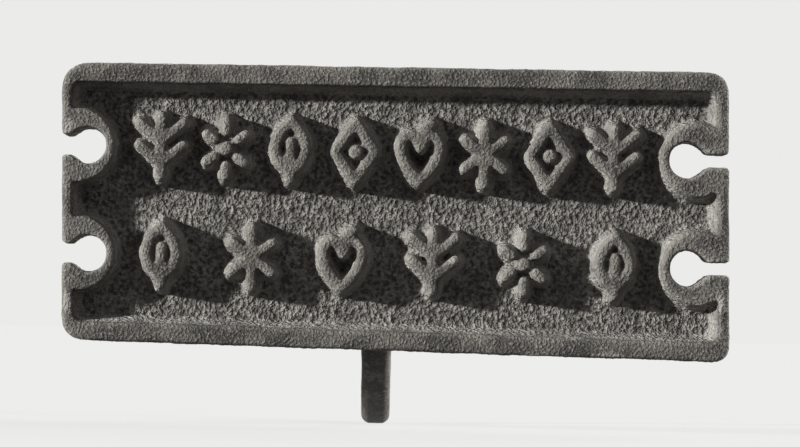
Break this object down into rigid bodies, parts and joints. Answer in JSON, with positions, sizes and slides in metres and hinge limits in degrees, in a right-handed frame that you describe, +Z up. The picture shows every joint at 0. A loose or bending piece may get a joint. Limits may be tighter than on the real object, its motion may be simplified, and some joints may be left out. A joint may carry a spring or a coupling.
{
  "type": "stamp seal",
  "caption": "Cast bronze hand stamp: a framed plate with two rows of raised ornaments, keyhole notches in its ends and a finger ring as the handle.",
  "frame": {"origin": "centre of the bounding box's underside, level with the lowest point of the ring", "axes": "+X along the plate to the right as its stamping face is seen, +Y from the stamping face towards the ring, +Z up the plate"},
  "size_m": [0.0504, 0.029, 0.0273],
  "materials": {
    "cast_bronze": "dark matt patina with a granular cast ground",
    "worn_bronze": "dark satin patina, smoother from handling",
    "solder": "dull grey, uneven"
  },
  "bodies": {
    "root": {"stamp_plate": "cast_bronze", "ring_handle": "worn_bronze", "solder_fillet": "solder"}
  },
  "joints": []
}
